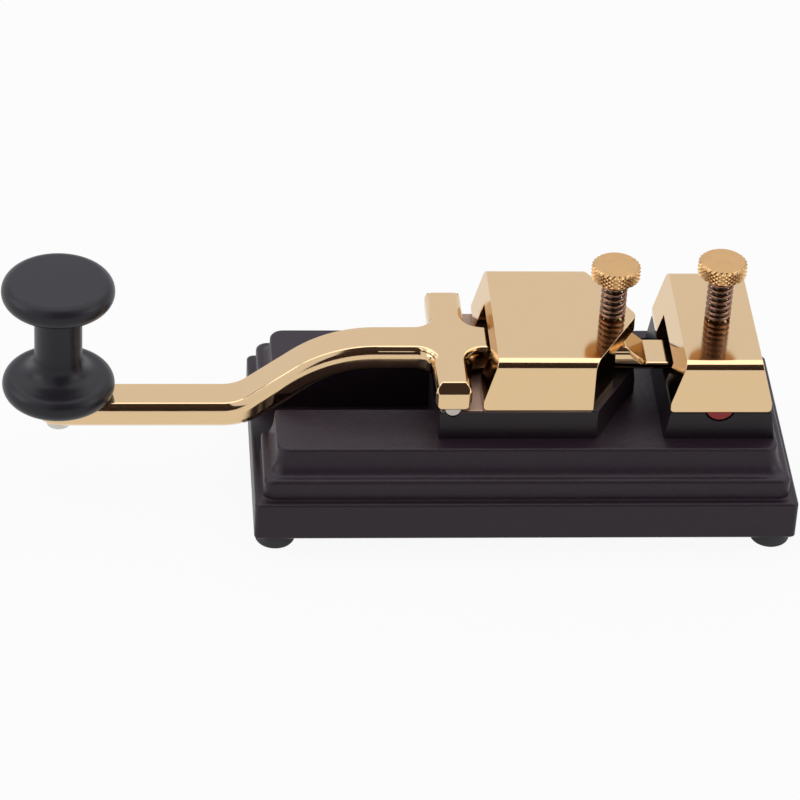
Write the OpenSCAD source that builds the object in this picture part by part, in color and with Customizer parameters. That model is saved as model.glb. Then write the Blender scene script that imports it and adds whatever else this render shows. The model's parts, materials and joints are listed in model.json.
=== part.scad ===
// Straight telegraph key with a camelback lever
// The lever rocks on a steel rod. Its knob hangs out past the left end of the base.
// X runs along the lever towards the contact, Y away from the front edge, Z up from the table.
// The origin is on the table, under the middle of the whole key from the knob to the base's right end.

/* [Base] */
// Length of the base, along the lever
base_l = 140; // [130:1:160]
// Depth of the base, from front to back
base_w = 66.8; // [64:0.2:80]
// Height of the upright edge round the base
plinth_h = 11; // [10:0.5:12]
// Height of the casting from its underside to its platform
casting_h = 23.8; // [22:0.1:28]
// Distance from the end of the base to the platform
platform_in_x = 5.5; // [4.5:0.1:8]
// Distance from the front of the base to the platform
platform_in_y = 6.5; // [4.5:0.1:8]
// Width of the channel that the lever runs in, at the left end of the base
channel_w = 19; // [16:0.2:22]
// Height of the rubber feet
foot_h = 4.5; // [3.5:0.25:6]
// Diameter of a rubber foot
foot_d = 10.4; // [9:0.2:12]

/* [Blocks] */
// Depth of both blocks and of the pedestals under them
block_w = 43.4; // [41:0.2:48]
// Height of both blocks
block_h = 14.75; // [13:0.25:18]
// Height of the pedestal under the pivot end
pivot_rise = 8.65; // [8:0.05:10]
// Height of the pedestal under the contact block
contact_rise = 8.05; // [7.5:0.05:9]
// Radius of the long top edges of the blocks
block_edge_r = 2.6; // [1:0.1:3]
// Width of the tunnel through the blocks
tunnel_w = 21.8; // [21:0.1:24]
// Thickness of metal over the tunnel in the pivot block
pivot_roof = 4.1; // [3:0.1:5]
// Thickness of metal over the tunnel in the contact block
contact_roof = 7; // [5:0.5:8]
// How far an end face leans outwards for each millimetre that it goes down
end_lean = 0.27; // [0.1:0.01:0.3]
// Height of the upright part at the foot of each end face
heel_h = 2.6; // [1.5:0.1:4]

/* [Lever] */
// Height of the lever's top at the knob, from the table
lever_low = 26.7; // [25:0.1:29]
// Height of the lever's top on the hump, from the table
lever_high = 44.75; // [44:0.05:46]
// Thickness of the lever
lever_t = 7.2; // [6.4:0.1:7.6]
// Width of the lever
lever_w = 11.8; // [10:0.2:13]
// Bevel along the lever's edges
bevel = 1.6; // [0.6:0.1:1.8]
// Radius of the dip in front of the hump, at the middle of the lever
dip_r = 14; // [12:0.5:18]
// Radius of the hump, at the middle of the lever
hump_r = 32; // [28:0.5:36]
// Steepest slope between the dip and the hump, in degrees
hump_angle = 37.5; // [34:0.5:40]
// Length of the crossbar that lies on the pivot rod
arm_span = 44.9; // [42:0.1:48]
// Width of the crossbar
arm_w = 9.4; // [8:0.2:11]

/* [Knob] */
// Diameter of both flanges of the knob
knob_d = 29; // [26:0.5:34]
// Height of the knob
knob_h = 35.5; // [33:0.1:38]
// Diameter of the knob's neck
knob_neck_d = 12.3; // [10:0.1:14]

/* [Screws and springs] */
// Diameter of the knurled heads
head_d = 12.8; // [11:0.2:14]
// Height of the knurled heads
head_h = 3.7; // [3:0.1:5]
// Diameter of the adjusting screws
screw_d = 4; // [3:0.1:4.4]
// Height of the tension screw's head above its block
tension_stand = 11.9; // [10:0.1:13]
// Height of the contact screw's head above its block
gap_stand = 13.7; // [12:0.1:15]
// Wire of the two lock springs
lock_wire = 0.9; // [0.8:0.05:0.95]
// Outer diameter of the two lock springs
lock_d = 6.8; // [6.6:0.1:8]
// Rise of each turn of the lock springs
lock_pitch = 1.45; // [1.4:0.05:2]
// Distance between the contact rivets at rest
contact_gap = 0.9; // [0.5:0.1:1]

/* [Hidden] */
$fn = 96;

// Heights above the table
platform_z = foot_h + casting_h;
pivot_seat = platform_z + pivot_rise;
contact_seat = platform_z + contact_rise;
pivot_top = pivot_seat + block_h;
contact_top = contact_seat + block_h;
lever_under = lever_high - lever_t;
tongue_top = contact_top - contact_roof - 3.8;
rod_z = (pivot_seat + lever_under) / 2;

// Places along the lever, measured from the middle of the base, and where that middle is
base_x = 32.2;
knob_x = -120;
rod_x = -19.7;
tension_x = 22.2;
contact_x = 49.6;
contact_mid = 49.3;
hump_start = -77.7;
tongue_start = 25.9;
tongue_end = 56;
stop_x = 41;

// The rod ends inside the crossbar, whose closed ends keep it in place; a ring gap lets the lever rock
rod_r = 2.1;
rod_half = block_w / 2 - 0.1;
rock_gap = 0.05;
seat_gap = 0.02;

// Plan of the pivot block: the corner where its nose begins, and the nose's round tip
nose_x = 16.2;
nose_tip_r = 3;
nose_apex = nose_x + block_w / 2 * tan(30);
pivot_left_top = -8.7;
pedestal_left = rod_x - 3.4;

// Fixing screws, whose heads sit in the underside
fix_r = 1.95;
fix_head_r = 3.5;
fix_head_h = 3.6;
fix_sink = 8;
fix_y = 16.2;
pivot_fix_x = [-5, 10];
contact_fix_x = [contact_mid - 7, contact_mid + 7];
bush_t = 1;

// Feet
foot_in = 5.6;
foot_round = 1.2;
foot_x = base_l / 2 - foot_in;
foot_y = base_w / 2 - foot_in - 1;

// Socket for the lead, in the back of the base
socket_x = 27;
socket_z = foot_h + plinth_h / 2;
socket_r = 3;
plug_r = 1.8;
socket_body = [12, 13, 8.4];
back_wall = 4;
socket_sink = 2;

// Solids along one axis: the outline's first number runs across, the second one up
module along_x(x0, x1) {
    translate([x0, 0, 0]) rotate([90, 0, 90]) linear_extrude(x1 - x0) children();
}

module along_y(y0, y1) {
    translate([0, y1, 0]) rotate([90, 0, 0]) linear_extrude(y1 - y0) children();
}

// Places a piece from the middle of the base
module placed() {
    translate([base_x, 0, 0]) children();
}

module hole_y(x, z, r, y0, y1) {
    translate([x, y1, z]) rotate([90, 0, 0]) cylinder(r = r, h = y1 - y0);
}

// One side of the base's moulding, as distances inwards and upwards from its bottom edge
riser_in = 2.2;
riser_h = 4.6;
ledge_in = 3.6;
cove_z = plinth_h + riser_h + 1.3;
lip = 0.9;
function arc(n) = [for (i = [0:n]) i * 90 / n];
function moulding(top_in) = concat(
    [[0.6, 0], [0, 0.6], [0, plinth_h - 0.5], [0.5, plinth_h], [riser_in, plinth_h]],
    [for (t = arc(6)) [riser_in + 1.2 * (1 - cos(t)), plinth_h + riser_h + 1.2 * sin(t)]],
    [for (t = arc(12)) [ledge_in + (top_in - ledge_in) * sin(t),
        casting_h - lip - (casting_h - lip - cove_z) * cos(t)]],
    [for (t = arc(5)) [top_in + lip * (1 - cos(t)), casting_h - lip + lip * sin(t)]]);

// The whole outline is one side and its mirror image
module base_outline(half, top_in) {
    side = moulding(top_in);
    n = len(side);
    polygon(concat(
        [for (p = side) [p[0] - half, p[1]]],
        [for (i = [1:n]) [half - side[n - i][0], side[n - i][1]]]));
}

module rounded_plan(l, w, r, h) {
    linear_extrude(h) union() {
        square([l - 2 * r, w], center = true);
        square([l, w - 2 * r], center = true);
        for (x = [-1, 1], y = [-1, 1]) translate([x * (l / 2 - r), y * (w / 2 - r)]) circle(r);
    }
}

module fixing_spots(xs) {
    for (x = xs, y = [-fix_y, fix_y]) translate([x, y, 0]) children();
}

module foot_spots() {
    for (x = [-foot_x, foot_x], y = [-foot_y, foot_y]) translate([x, y, 0]) children();
}

module base() {
    color("#17130f") placed() difference() {
        translate([0, 0, foot_h]) intersection() {
            along_y(-base_w / 2, base_w / 2) base_outline(base_l / 2, platform_in_x);
            along_x(-base_l / 2, base_l / 2) base_outline(base_w / 2, platform_in_y);
            union() {
                rounded_plan(base_l, base_w, 1.2, plinth_h);
                rounded_plan(base_l - 2 * riser_in, base_w - 2 * riser_in, 2.5, casting_h);
            }
        }
        // Channel down to the level of the ledge, from the left end to the pedestal
        translate([-base_l / 2 - 1, -channel_w / 2, foot_h + plinth_h])
            cube([base_l / 2 + 1 + pedestal_left, channel_w, casting_h]);
        // Holes and sunk seats for the screws that come up from below
        fixing_spots(concat(pivot_fix_x, contact_fix_x)) translate([0, 0, foot_h - 1])
            cylinder(r = fix_head_r + 1, h = fix_sink + 1);
        fixing_spots(pivot_fix_x) cylinder(r = fix_r + 0.15, h = platform_z + 1);
        fixing_spots(contact_fix_x) cylinder(r = fix_r + 1.15, h = platform_z + 1);
        foot_spots() cylinder(r = 1.5, h = foot_h + 8);
        // Pocket and hole for the socket
        translate([socket_x - socket_body[0] / 2 - 0.5, base_w / 2 - back_wall - socket_body[1] - 1.5, foot_h - 1])
            cube([socket_body[0] + 1, socket_body[1] + 1.5, plinth_h + 0.4]);
        hole_y(socket_x, socket_z, socket_r + 0.05, base_w / 2 - back_wall - 1, base_w / 2 + 1);
        hole_y(socket_x, socket_z, 4.9, base_w / 2 - socket_sink, base_w / 2 + 1);
    }
}

module feet() {
    color("#101010") placed() foot_spots() difference() {
        rotate_extrude() polygon(concat(
            [[0, 0]],
            [for (t = arc(8)) [foot_d / 2 - foot_round + foot_round * sin(t), foot_round * (1 - cos(t))]],
            [[foot_d / 2, foot_h], [0, foot_h]]));
        translate([0, 0, -1]) cylinder(r = 2.3, h = 2.6);
        cylinder(r = 1.6, h = foot_h + 1);
    }
}

module foot_screws() {
    color("silver") placed() foot_spots() {
        translate([0, 0, 1.6]) cylinder(r = 1.4, h = foot_h + 4.5);
        translate([0, 0, 0.3]) cylinder(r = 2.1, h = 1.3);
    }
}

// Side view of a pedestal or a block: its width at the top, and both ends leaning outwards below
module leaning_outline(left, right, z0, z1, lean_left, lean_right) {
    drop = z1 - z0;
    polygon([[left, z1], [left - lean_left * drop, z0], [right + lean_right * drop, z0], [right, z1]]);
}

// Side view of a block's end face, as steps outwards from its top and heights above its seat
heel_r = 1;
function end_face(h) = let (out = end_lean * (h - heel_h)) concat(
    [[0, h], [out - 0.05, heel_h + 0.2], [out, heel_h - 0.1]],
    [for (t = arc(5)) [out - heel_r + heel_r * cos(t), heel_r - heel_r * sin(t)]]);

// Side view of a block whose left end, and right end if it is one too, leans outwards down to its heel
module block_side(left, right, z0, h, right_leans) {
    face = end_face(h);
    n = len(face);
    polygon(concat(
        [for (p = face) [left - p[0], z0 + p[1]]],
        right_leans ? [for (i = [1:n]) [right + face[n - i][0], z0 + face[n - i][1]]]
            : [[right, z0], [right, z0 + h]]));
}

// Plan of the nose: two faces at 30 degrees to the crossbar, that meet in a round tip
module nose_plan(left, grow, half) {
    tip = nose_apex - nose_tip_r / sin(60) + grow;
    intersection() {
        translate([left, -half]) square([nose_apex - left + grow, 2 * half]);
        union() {
            polygon([[left, -half], [nose_x + grow, -half],
                [tip + nose_tip_r * sin(60), -nose_tip_r / 2],
                [tip + nose_tip_r * sin(60), nose_tip_r / 2],
                [nose_x + grow, half], [left, half]]);
            translate([tip, 0]) circle(nose_tip_r);
        }
    }
}

module rod_cut(clearance, half) {
    hole_y(rod_x, rod_z, rod_r + clearance, -half, half);
}

// Both pedestals are a little deeper than the blocks on them
pedestal_half = block_w / 2 + 0.25;

module pivot_pedestal() {
    color("#1a1512") placed() difference() {
        intersection() {
            translate([0, 0, platform_z]) linear_extrude(pivot_rise) nose_plan(pedestal_left, 1.4, pedestal_half);
            along_y(-block_w, block_w) polygon([[pedestal_left, platform_z],
                [nose_apex + 1.4, platform_z], [nose_apex, pivot_seat],
                [pedestal_left + 0.4, pivot_seat], [pedestal_left, pivot_seat - 0.4]]);
            along_x(-60, 60) pedestal_end(pedestal_half, platform_z, pivot_seat, 0.35);
        }
        rod_cut(seat_gap, block_w);
        fixing_spots(pivot_fix_x) cylinder(r = fix_r + 0.15, h = pivot_seat + 1);
    }
}

// End view of a pedestal, with small bevels on its long top edges
module pedestal_end(half, z0, z1, cut) {
    polygon([[-half, z0], [half, z0], [half, z1 - cut], [half - cut, z1],
        [cut - half, z1], [-half, z1 - cut]]);
}

// The red bush sits in the front of the pedestal with its upper part cut off flat by the block
red_r = 3.5;
red_x = contact_mid - 0.4;
red_z = contact_seat + 1.4;
red_depth = 6;

module contact_pedestal() {
    half = 13.05;
    color("#141212") placed() difference() {
        intersection() {
            along_y(-pedestal_half, pedestal_half)
                leaning_outline(contact_mid - half, contact_mid + half, platform_z, contact_seat, 0.16, 0.16);
            along_x(0, 80) pedestal_end(pedestal_half, platform_z, contact_seat, 0.2);
        }
        fixing_spots(contact_fix_x) cylinder(r = fix_r + 0.15, h = contact_seat + 1);
        hole_y(red_x, red_z, red_r + 0.02, -block_w / 2 - 1, -block_w / 2 + red_depth);
        hole_y(red_x, red_z, red_r + 0.6, -block_w / 2 - 1, -block_w / 2 + 0.9);
        translate([stop_x, 0, contact_seat - 4]) cylinder(r = 2.52, h = 5);
    }
}

module red_bush() {
    color("#8f1218") placed() difference() {
        hole_y(red_x, red_z, red_r, -block_w / 2 - 0.25, -block_w / 2 + red_depth);
        translate([red_x - 10, -block_w, contact_seat]) cube([20, block_w, 10]);
        hole_y(red_x, red_z, 1.2, -block_w / 2 - 1, -block_w / 2 + red_depth - 2);
    }
}

// End view of a block: square feet, rounded long top edges and a tunnel for the lever
module block_end(z0, z1, roof) {
    half = block_w / 2;
    r = block_edge_r;
    difference() {
        union() {
            translate([-half, z0]) square([block_w, block_h - r]);
            translate([r - half, z0]) square([block_w - 2 * r, block_h]);
            for (side = [-1, 1]) translate([side * (half - r), z1 - r]) circle(r);
        }
        translate([-tunnel_w / 2, z0 - 1]) square([tunnel_w, block_h - roof + 1]);
    }
}

module pivot_block() {
    color("#d9a24c") placed() difference() {
        intersection() {
            along_x(-30, 40) block_end(pivot_seat, pivot_top, pivot_roof);
            along_y(-block_w, block_w) block_side(pivot_left_top, 40, pivot_seat, block_h, false);
            linear_extrude(pivot_top + 1) nose_plan(-30, 0, block_w / 2);
        }
        fixing_spots(pivot_fix_x) cylinder(r = fix_r + 0.05, h = pivot_seat + 9);
        translate([tension_x, 0, 0]) cylinder(r = screw_d / 2 + 0.05, h = pivot_top + 1);
    }
}

module contact_block() {
    color("#d9a24c") placed() difference() {
        intersection() {
            along_x(20, 80) block_end(contact_seat, contact_top, contact_roof);
            along_y(-block_w, block_w)
                block_side(contact_mid - 9.9, contact_mid + 9.6, contact_seat, block_h, true);
        }
        fixing_spots(contact_fix_x) cylinder(r = fix_r + 0.05, h = contact_seat + 9);
        translate([contact_x, 0, 0]) cylinder(r = screw_d / 2 + 0.05, h = contact_top + 1);
    }
}

// Cap screw with its head down, as seen from below; its seat is the top of the head
module cap_screw(seat, top) {
    difference() {
        union() {
            translate([0, 0, seat - fix_head_h]) cylinder(r = fix_head_r, h = fix_head_h);
            translate([0, 0, seat]) cylinder(r = fix_r, h = top - seat);
        }
        translate([0, 0, seat - fix_head_h - 1]) cylinder(r = 1.7, h = 3, $fn = 6);
    }
}

module pivot_block_screws() {
    color("dimgray") placed() fixing_spots(pivot_fix_x) cap_screw(foot_h + fix_sink, pivot_seat + 7);
}

module contact_block_screws() {
    color("dimgray") placed() fixing_spots(contact_fix_x) cap_screw(foot_h + fix_sink - bush_t, contact_seat + 7);
}

module insulating_bushes() {
    seat = foot_h + fix_sink;
    color("#8f1218") placed() fixing_spots(contact_fix_x) difference() {
        union() {
            translate([0, 0, seat - bush_t]) cylinder(r = fix_head_r + 0.8, h = bush_t);
            translate([0, 0, seat]) cylinder(r = fix_r + 1.1, h = platform_z - seat);
        }
        cylinder(r = fix_r + 0.05, h = platform_z + 1);
    }
}

module pivot_rod() {
    color("#d8dadc") placed() hole_y(rod_x, rod_z, rod_r, -rod_half, rod_half);
}

// Section of the lever: a flat bar with all four edges bevelled
module bevelled_bar(w, t, c) {
    polygon([for (p = [[1, 1], [-1, 1], [-1, -1], [1, -1]], k = [0, 1])
        let (first = (k == 0) == (p[0] * p[1] > 0))
        first ? [p[0] * w / 2, p[1] * (t / 2 - c)] : [p[0] * (w / 2 - c), p[1] * t / 2]]);
}

module lever_straight(x0, x1, z) {
    along_x(x0, x1) translate([0, z]) bevelled_bar(lever_w, lever_t, bevel);
}

// One curve of the hump, turned about an axis across the lever
module lever_curve(x, z, radius, start) {
    translate([x, 0, z]) rotate([90, 0, 0]) rotate([0, 0, start])
        rotate_extrude(angle = hump_angle)
            translate([radius, 0]) rotate(90) bevelled_bar(lever_w, lever_t, bevel);
}

// The crossbar, bevelled along its edges, at its ends and at its corners
module crossbar(z) {
    half = arm_span / 2;
    end_bevel = 2.3;
    under_bevel = 0.3;
    corner = 0.9;
    intersection() {
        translate([rod_x, 0, 0]) along_y(-half, half) translate([0, z]) bevelled_bar(arm_w, lever_t, bevel);
        along_x(rod_x - arm_w, rod_x + arm_w) translate([0, z]) polygon([
            [under_bevel - half, -lever_t / 2], [half - under_bevel, -lever_t / 2],
            [half, under_bevel - lever_t / 2], [half, lever_t / 2 - end_bevel],
            [half - end_bevel, lever_t / 2], [end_bevel - half, lever_t / 2],
            [-half, lever_t / 2 - end_bevel], [-half, under_bevel - lever_t / 2]]);
        translate([rod_x, 0, 0]) linear_extrude(z + lever_t) bevelled_bar(arm_w, arm_span, corner);
    }
}

// The hollow curve where the crossbar grows out of the lever, with the same bevels
module web(x_side, y_side, z) {
    r = 4.3;
    mid_x = rod_x + x_side * (arm_w / 2 + r);
    mid_y = y_side * (lever_w / 2 + r);
    wide = arm_w / 2 + r;
    tall = lever_w / 2 + r;
    difference() {
        translate([x_side > 0 ? rod_x : rod_x - wide, y_side > 0 ? 0 : -tall, z - lever_t / 2])
            cube([wide, tall, lever_t]);
        translate([mid_x, mid_y, z]) rotate_extrude() polygon([[0, -lever_t / 2 - 1],
            [r + bevel + 1, -lever_t / 2 - 1], [r, bevel - lever_t / 2],
            [r, lever_t / 2 - bevel], [r + bevel + 1, lever_t / 2 + 1], [0, lever_t / 2 + 1]]);
    }
}

// The slope behind the nose and the thin tongue, with smaller bevels than the rest of the lever
tail_angle = 38.5;
tail_bevel = 0.8;
module tail(mid) {
    half = lever_w / 2;
    slope_end = tongue_start + (lever_high - tongue_top) / tan(tail_angle);
    intersection() {
        translate([tongue_start, 0, lever_high]) rotate([0, tail_angle, 0]) along_x(-8, 12) polygon([
            [-half, -12], [half, -12], [half, -tail_bevel], [half - tail_bevel, 0],
            [tail_bevel - half, 0], [-half, -tail_bevel]]);
        lever_straight(tongue_start - 1, slope_end, mid);
    }
    intersection() {
        along_x(slope_end - 0.4, tongue_end) polygon([
            [bevel - half, lever_under], [half - bevel, lever_under], [half, lever_under + bevel],
            [half, tongue_top - tail_bevel], [half - tail_bevel, tongue_top],
            [tail_bevel - half, tongue_top], [-half, tongue_top - tail_bevel], [-half, lever_under + bevel]]);
        linear_extrude(lever_high) union() {
            translate([0, -half]) square([tongue_end - half, lever_w]);
            translate([tongue_end - half, 0]) circle(half);
        }
    }
}

module lever() {
    low_mid = lever_low - lever_t / 2;
    high_mid = lever_high - lever_t / 2;
    slope_x = hump_start + dip_r * sin(hump_angle);
    slope_z = low_mid + dip_r * (1 - cos(hump_angle));
    slope_l = (high_mid - slope_z - hump_r * (1 - cos(hump_angle))) / sin(hump_angle);
    hump_end = slope_x + slope_l * cos(hump_angle) + hump_r * sin(hump_angle);
    lap = 0.005;
    color("#cf9a3c") placed() difference() {
        union() {
            // Round end under the knob
            translate([knob_x, 0, low_mid]) rotate_extrude() intersection() {
                bevelled_bar(lever_w, lever_t, bevel);
                translate([0, -lever_t]) square([lever_w, 2 * lever_t]);
            }
            lever_straight(knob_x, hump_start, low_mid);
            lever_curve(hump_start, low_mid + dip_r, dip_r, -90);
            // The slope laps a hair into both curves, so that they join into one solid
            translate([slope_x, 0, slope_z]) rotate([0, -hump_angle, 0]) along_x(-lap, slope_l + lap)
                bevelled_bar(lever_w, lever_t, bevel);
            lever_curve(hump_end, high_mid - hump_r, hump_r, 90);
            lever_straight(hump_end, tongue_start, high_mid);
            crossbar(high_mid);
            for (x = [-1, 1], y = [-1, 1]) web(x, y, high_mid);
            tail(high_mid);
        }
        rod_cut(rock_gap, rod_half + rock_gap);
        translate([knob_x, 0, 0]) cylinder(r = 2.1, h = lever_high);
        translate([tension_x, 0, tongue_top - 0.3]) cylinder(r = 2.4, h = 8);
        translate([contact_x, 0, 0]) cylinder(r = 1.12, h = lever_high);
    }
}

// Half of the knob's outline: a flange with a fully round edge, a hollow flare to the neck, and the same above
module knob() {
    r = knob_d / 2;
    neck = knob_neck_d / 2;
    edge = 3.35;
    rim = 6.8;
    flare = r - edge - neck;
    color("#141315") placed() translate([knob_x, 0, lever_low]) difference() {
        rotate_extrude() polygon(concat(
            [[0, 0]],
            [for (t = arc(8)) [r - edge + edge * sin(t), edge * (1 - cos(t))]],
            [for (t = arc(8)) [r - edge + edge * cos(t), rim - edge + edge * sin(t)]],
            [for (t = arc(8)) [neck + flare * (1 - sin(t)), rim + flare * (1 - cos(t))]],
            [for (t = arc(8)) [neck + flare * (1 - cos(t)), knob_h - rim - flare * (1 - sin(t))]],
            [for (t = arc(8)) [r - edge + edge * sin(t), knob_h - rim + edge * (1 - cos(t))]],
            [for (t = arc(8)) [r - edge + edge * cos(t), knob_h - edge + edge * sin(t)]],
            [[0, knob_h]]));
        translate([0, 0, -1]) cylinder(r = 2, h = 16);
    }
}

module knob_screw() {
    under = lever_low - lever_t;
    color("silver") placed() translate([knob_x, 0, 0]) difference() {
        union() {
            translate([0, 0, under - 2.1]) cylinder(r = 3.2, h = 2.1);
            translate([0, 0, under]) cylinder(r = 1.95, h = lever_t + 13);
        }
        translate([-5, -0.5, under - 3]) cube([10, 1, 1.9]);
    }
}

module lever_contact() {
    color("#e4e6e8") placed() translate([contact_x, 0, 0]) {
        translate([0, 0, tongue_top]) cylinder(r = 2.2, h = 0.8);
        translate([0, 0, lever_under]) cylinder(r = 1.1, h = tongue_top - lever_under);
    }
}

module rest_stop() {
    color("#e8e2d0") placed() translate([stop_x, 0, contact_seat - 4])
        cylinder(r = 2.5, h = lever_under - contact_seat + 4 - 0.01);
}

// Knurled head with a bevelled top, on a plain shank
module thumb_screw(x, head_z, tip_z) {
    r = head_d / 2;
    translate([x, 0, 0]) {
        translate([0, 0, head_z]) rotate_extrude() polygon([[0, 0], [r - 0.3, 0], [r, 0.3],
            [r, head_h - 0.75], [r - 0.8, head_h], [0, head_h]]);
        translate([0, 0, tip_z]) cylinder(r = screw_d / 2, h = head_z - tip_z);
    }
}

washer_t = 0.5;
module thumb_washer(x, head_z) {
    translate([x, 0, head_z - washer_t]) difference() {
        cylinder(r = lock_d / 2 + 0.4, h = washer_t);
        translate([0, 0, -1]) cylinder(r = screw_d / 2 + 0.2, h = washer_t + 2);
    }
}

tension_head = pivot_top + tension_stand;
gap_head = contact_top + gap_stand;
gap_tip = tongue_top + 0.8 + contact_gap;
tip_h = 0.8;

module tension_screw() {
    color("#cf9a3c") placed() thumb_screw(tension_x, tension_head, pivot_top - pivot_roof);
}

module tension_washer() {
    color("#cf9a3c") placed() thumb_washer(tension_x, tension_head);
}

module gap_screw() {
    color("#cf9a3c") placed() thumb_screw(contact_x, gap_head, gap_tip + tip_h);
}

module gap_washer() {
    color("#cf9a3c") placed() thumb_washer(contact_x, gap_head);
}

module screw_contact() {
    color("#e4e6e8") placed() translate([contact_x, 0, gap_tip]) cylinder(r = 1.9, h = tip_h);
}

// Springs: one wire that stands straight at both ends, bends over and winds between them
function wire_bend(wire) = 0.95 * wire;
function turns_of(h, wire, pitch) = floor(4 * (h - 2 * wire - 2 * wire_bend(wire)) / pitch) / 4;
function end_path(r, wire) = let (bend = wire_bend(wire)) concat(
    [[0, 0], [0, wire]],
    [for (t = [22.5, 45, 67.5]) [bend / r * 180 / PI * (1 - cos(t)), wire + bend * sin(t)]]);
function spring_path(r, h, wire, pitch) =
    let (ends = end_path(r, wire))
    let (turn = 360 * turns_of(h, wire, pitch))
    let (lean = wire_bend(wire) / r * 180 / PI)
    let (steps = ceil(turn / 45))
    let (low = wire + wire_bend(wire))
    let (rise = h - 2 * low)
    let (total = turn + 2 * lean)
    let (line = concat(ends,
        [for (i = [0:steps]) [lean + turn * i / steps, low + rise * i / steps]],
        [for (i = [1:len(ends)]) [total - ends[len(ends) - i][0], h - ends[len(ends) - i][1]]]))
    [for (p = line) [r * cos(p[0]), r * sin(p[0]), p[1]]];

function unit(v) = v / norm(v);
function along(path, i) = unit(path[min(i + 1, len(path) - 1)] - path[max(i - 1, 0)]);

// Each ring lies square to the wire, and starts from the line that points away from the spring's axis
function ring_of(path, i, radius, sides) =
    let (t = along(path, i))
    let (u = unit(cross(t, [path[i][0], path[i][1], 0])))
    let (v = cross(t, u))
    [for (k = [0:sides - 1]) path[i] + radius * (cos(360 * k / sides) * u + sin(360 * k / sides) * v)];

module wire_tube(path, radius, sides) {
    n = len(path);
    points = [for (i = [0:n - 1]) each ring_of(path, i, radius, sides)];
    walls = [for (i = [0:n - 2], k = [0:sides - 1])
        let (a = i * sides + k, b = i * sides + (k + 1) % sides)
        each [[a, b, b + sides], [a, b + sides, a + sides]]];
    ends = concat(
        [for (k = [1:sides - 2]) [0, k + 1, k]],
        [for (k = [1:sides - 2]) [(n - 1) * sides, (n - 1) * sides + k, (n - 1) * sides + k + 1]]);
    polyhedron(points = points, faces = [for (f = concat(walls, ends)) [f[2], f[1], f[0]]]);
}

// Least space between one stretch of the wire and another, at least half a turn away
function wire_gap(path, wire, apart) = min([for (i = [0:len(path) - 1], j = [i + apart:1:len(path) - 1])
    norm(path[i] - path[j])]) - wire;

module spring(x, z0, h, outer, wire, pitch) {
    path = spring_path((outer - wire) / 2, h, wire, pitch);
    echo(turns = turns_of(h, wire, pitch), least_gap = wire_gap(path, wire, 5));
    translate([x, 0, z0]) wire_tube(path, wire / 2, 6);
}

module tension_lock_spring() {
    color("#4a4a4e") placed() spring(tension_x, pivot_top, tension_stand - washer_t, lock_d, lock_wire, lock_pitch);
}

module gap_lock_spring() {
    color("#4a4a4e") placed() spring(contact_x, contact_top, gap_stand - washer_t, lock_d, lock_wire, lock_pitch);
}

module return_spring() {
    z0 = tongue_top - 0.3;
    color("#4a4a4e") placed() spring(tension_x, z0, pivot_top - pivot_roof - z0, 3.9, 0.55, 1.2);
}

// Socket for the lead, with its threaded sleeve through the back of the base
module lead_socket() {
    inner = base_w / 2 - back_wall;
    color("#202020") placed() difference() {
        union() {
            translate([socket_x - socket_body[0] / 2, inner - socket_body[1], socket_z - socket_body[2] / 2])
                cube(socket_body);
            hole_y(socket_x, socket_z, socket_r, inner - 1, base_w / 2 - 0.1);
        }
        hole_y(socket_x, socket_z, plug_r, inner - socket_body[1] + 1.5, base_w / 2 + 4);
    }
}

module socket_nut() {
    color("silver") placed() difference() {
        hole_y(socket_x, socket_z, 4.2, base_w / 2 - socket_sink, base_w / 2 - 0.4);
        hole_y(socket_x, socket_z, socket_r + 0.02, base_w / 2 - 3, base_w / 2 + 3);
    }
}

base();
feet();
foot_screws();
pivot_pedestal();
contact_pedestal();
pivot_block();
contact_block();
pivot_block_screws();
contact_block_screws();
insulating_bushes();
red_bush();
pivot_rod();
lever();
knob();
knob_screw();
lever_contact();
rest_stop();
tension_screw();
tension_washer();
tension_lock_spring();
return_spring();
gap_screw();
gap_washer();
gap_lock_spring();
screw_contact();
lead_socket();
socket_nut();
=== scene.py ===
# %% [markdown]
# # A telegraph key
# The key is a gold-plated lever that rocks on a steel rod over a black cast base.
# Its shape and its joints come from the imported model. Here it gets its finishes, its fine parts
# (knurling, threads, wound springs), a table to stand on and soft light.

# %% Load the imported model
import json
import math

import bmesh
import bpy
from mathutils import Matrix, Vector

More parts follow.
